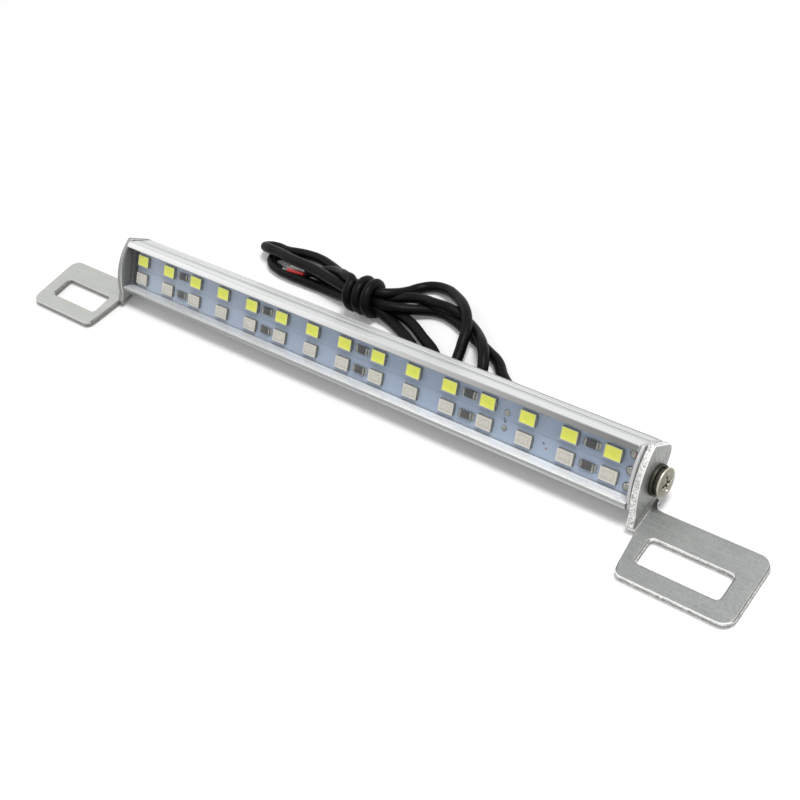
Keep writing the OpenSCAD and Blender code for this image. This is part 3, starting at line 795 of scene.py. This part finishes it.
silicone = Finish("black sealant")
lumps = silicone.noise(silicone.place(), 500, 2)
silicone.feed("Base Color", silicone.tint(lumps, (0.010, 0.010, 0.011, 1), (0.03, 0.03, 0.032, 1)))
silicone.feed("Roughness", 0.2 + 0.3 * lumps)
silicone.relief(lumps, 0.0002)
softened("left_sealant", "left_bead", 0.0004, 4, silicone)

# The brackets: aluminium sheet, stamped, folded once and tumbled, so that the faces are a
# speckled satin grey. Their rounded edges carry a painted highlight and the inside of the fold
# painted shade, and the two brackets are painted as lit and shaded copies. Each turns about its
# swivel screw.
satin = Finish("tumbled aluminium sheet", Metallic=0.85)
speckle = satin.noise(satin.place(), 3400, 3)
mottle = satin.noise(satin.place(), 260, 4)
flecks = satin.noise(satin.place(), 1500, 3)
scratch = satin.noise(satin.stretched((130, 2600, 130)), 1, 3)
grained = speckle * 0.6 + scratch * 0.4
side_on, front_on, level = map(abs, satin.parts(satin.node("ShaderNodeTexCoord", {}, {}, "Normal")))
sideways, _, above = satin.parts(satin.place())
bend_top = 0.0021
upright = above > bend_top
leftward = sideways < 0
face_on = level * (1 - upright) + side_on * upright + 0.2 * (flecks - 0.5)
# Painted highlight: edges whose normal turns off the sheet's face are painted near white.
edge_highlight = satin.ramp(face_on, 0.95, 0.82)
sheared = satin.ramp(face_on, 0.55, 0.42)
# Painted shade: the inside of the fold is painted nearly black.
bend = satin.ramp(satin.maths("MAXIMUM", side_on, level), 0.985, 0.90)
crease_low, crease_high = 0.0014, 0.0030
crease_shade = bend * (front_on < 0.3) * (above < crease_high) * (above > crease_low)
worked, polished = (0.22, 0.23, 0.22, 1), (0.44, 0.45, 0.44, 1)
grey = satin.tint(satin.ramp(grained, 0.34, 0.64), worked, polished)
grey = satin.tint(satin.ramp(mottle, 0.4, 0.7) * 0.3, grey, (0.50, 0.50, 0.48, 1))
# Lit and shaded copies of one sheet: the left bracket's faces are painted lighter, its cut edges
# darker and its edge highlight fainter, and the right tab is painted darker.
grey = satin.tint(leftward * 0.6, grey, (0.56, 0.57, 0.54, 1))
shaded_right_tab = (1 - upright) * (1 - leftward)
grey = satin.tint(shaded_right_tab * 0.62, grey, (0.19, 0.20, 0.195, 1))
metal = satin.tint(edge_highlight * (1 - 0.8 * leftward), grey, (0.90, 0.90, 0.89, 1))
dull, bright = (0.30, 0.30, 0.29, 1), (0.92, 0.92, 0.90, 1)
torn = satin.tint(satin.ramp(speckle * 0.6 + flecks * 0.4, 0.40, 0.60), dull, bright)
torn = satin.tint(leftward * 0.85, torn, (0.22, 0.22, 0.21, 1))
seam_up, seam_wander, seam_clear, seam_full = 0.0007, 0.0006, 0.0004, 0.0002
from_seam = abs(above - seam_up) + seam_wander * (flecks - 0.5)
seam = satin.ramp(from_seam, seam_clear, seam_full)
torn = satin.tint(seam * 0.8, torn, (0.12, 0.12, 0.11, 1))
metal = satin.tint(sheared * 0.9, metal, torn)
satin.feed("Base Color", satin.tint(crease_shade * 0.85, metal, (0.07, 0.07, 0.06, 1)))
satin.feed("Roughness", 0.34 + 0.2 * speckle + 0.1 * scratch)
satin.relief(grained, 0.00006)


fold_x, fold_z = 0.0785, 0.003
fold_back, fold_front, fold_reach = 0.0043, -0.00287, 0.0006


def fold_end(middle):
    """Whether an edge lies at either end of the fold, where the sheet is narrow."""
    at_fold = abs(middle.x) < fold_x and middle.z < fold_z
    return at_fold and (middle.y > fold_back or abs(middle.y - fold_front) < fold_reach)


for side in ("left", "right"):
    sheet = side + "_bracket_sheet"
    softened(
        side + "_bracket", sheet, 0.0004, 4, satin, side + "_mount", crowded=fold_end
    )

# The fixings at each end: a blackened flat washer, a spring washer and a nickel-plated
# screw with a low domed head and a cross recess, which holds the bracket to the cap.
blackened = Finish("blackened steel", Metallic=0.9)
oxide = blackened.noise(blackened.place(), 1400, 3)
oxides = (0.022, 0.024, 0.020, 1), (0.10, 0.10, 0.075, 1)
blackened.feed("Base Color", blackened.tint(oxide, *oxides))
blackened.feed("Roughness", 0.3 + 0.3 * oxide)
blackened.relief(oxide, 0.00003)
plating = Finish("nickel plating", Metallic=1.0)
tarnish = plating.noise(plating.place(), 900, 3)
end_on = abs(plating.parts(plating.node("ShaderNodeTexCoord", {}, {}, "Normal"))[0])
# Painted highlight: the rounded rim of the head is painted pale where its faces turn away from the
# screw's axis.
rim_highlight = plating.ramp(end_on, 0.97, 0.85)
plated = plating.tint(tarnish, (0.12, 0.115, 0.085, 1), (0.36, 0.34, 0.27, 1))
plated = plating.tint(rim_highlight * 0.7, plated, (0.78, 0.77, 0.68, 1))
sideways, back, above = plating.parts(plating.place())
# Painted shade: the cross recess is painted nearly black.
recess_floor, recess_mouth, recess_r = 0.0785, 0.07945, 0.00179
axis_y, axis_z = 0.00663, 0.0063
deep = (abs(sideways) < recess_mouth) * (abs(sideways) > recess_floor)
from_axis = (back - axis_y) ** 2 + (above - axis_z) ** 2
recess_shade = deep * (from_axis < recess_r * recess_r)
plating.feed("Base Color", plating.tint(recess_shade * 0.9, plated, (0.02, 0.02, 0.018, 1)))
plating.feed("Roughness", 0.2 + 0.25 * tarnish)
plating.relief(tarnish, 0.00003)
for side in ("left", "right"):
    softened(side + "_flat_washer", side + "_washer", 0.0001, 2, blackened)
    softened(side + "_spring_washer", side + "_lock_washer", 0.0001, 2, blackened)
    softened(side + "_screw", side + "_swivel_screw", 0.0001, 2, plating)
